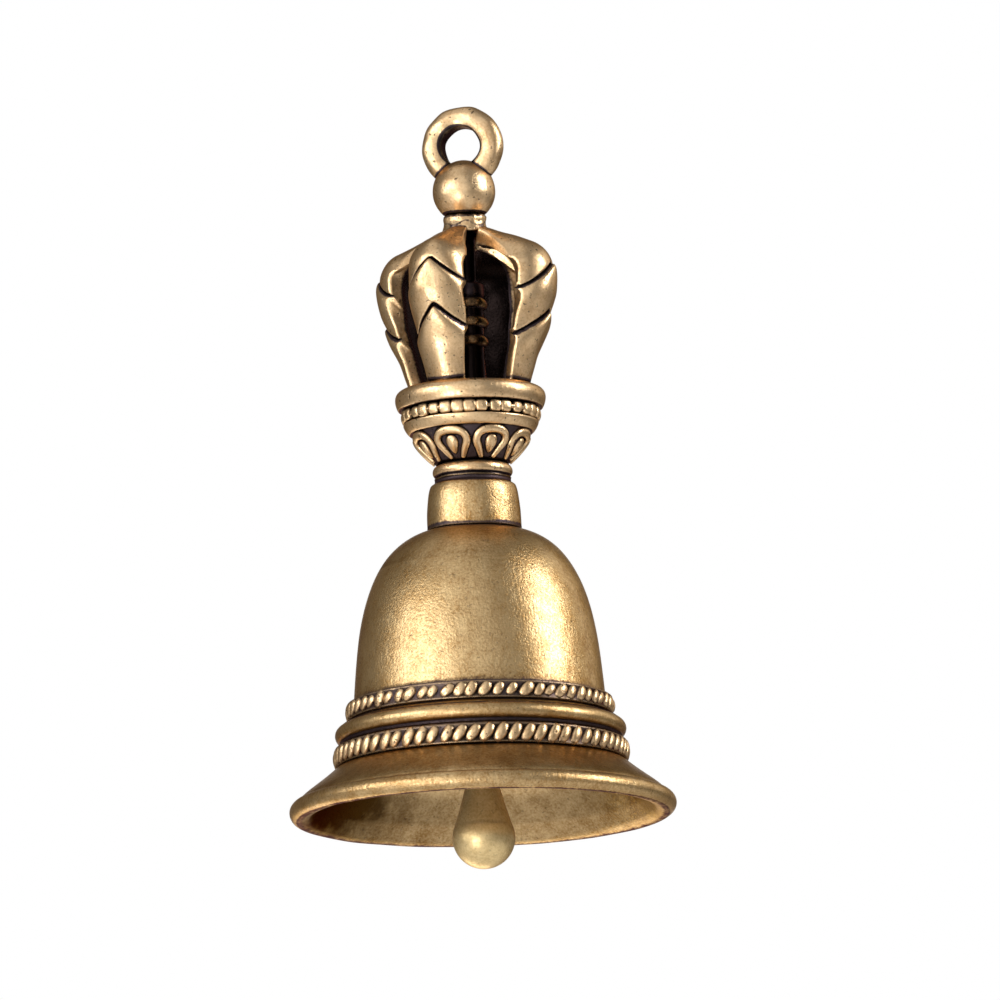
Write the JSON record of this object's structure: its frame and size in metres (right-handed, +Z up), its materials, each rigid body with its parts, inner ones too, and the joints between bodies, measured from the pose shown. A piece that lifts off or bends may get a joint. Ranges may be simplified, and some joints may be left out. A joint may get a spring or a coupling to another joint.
{
  "type": "hand bell",
  "caption": "Miniature brass hand bell with a hanging loop, a pronged crown, a lotus cup, rope-twist bands and a loose clapper.",
  "frame": {"origin": "middle of the hanging loop's bore, from which the bell hangs", "axes": "+Z up along the bell's axis, -Y towards the viewer, +X to the viewer's right"},
  "size_m": [0.024, 0.024, 0.048],
  "materials": {
    "satin_brass": "satin, lightly aged",
    "antiqued_brass": "cast and antiqued, dark in the recesses",
    "dark_brass": "dark patina",
    "pale_brass": "satin, turned"
  },
  "bodies": {
    "bell": {"bell_shell": "satin_brass", "lower_rope_band": "antiqued_brass", "middle_band": "satin_brass", "upper_rope_band": "antiqued_brass", "neck_barrel": "satin_brass", "neck_ring": "antiqued_brass", "lotus_cup": "antiqued_brass", "bead_ring": "antiqued_brass", "core_spindle": "dark_brass", "crown_prong_1": "antiqued_brass", "crown_prong_2": "antiqued_brass", "crown_prong_3": "antiqued_brass", "crown_prong_4": "antiqued_brass", "crown_collar": "antiqued_brass", "finial_ball": "satin_brass", "hanging_loop": "antiqued_brass", "clapper_eye": "dark_brass"},
    "link": {"clapper_link": "dark_brass"},
    "clapper": {"clapper": "pale_brass"}
  },
  "joints": [
    {"name": "link_swing", "type": "hinge", "parent": "bell", "child": "link", "pos_m": [0, 0, -0.02795], "axis": [0, 1, 0], "range_deg": [-27, 27]},
    {"name": "clapper_swing", "type": "hinge", "parent": "link", "child": "clapper", "pos_m": [0, 0, -0.03222], "axis": [1, 0, 0], "range_deg": [-10, 10]}
  ]
}
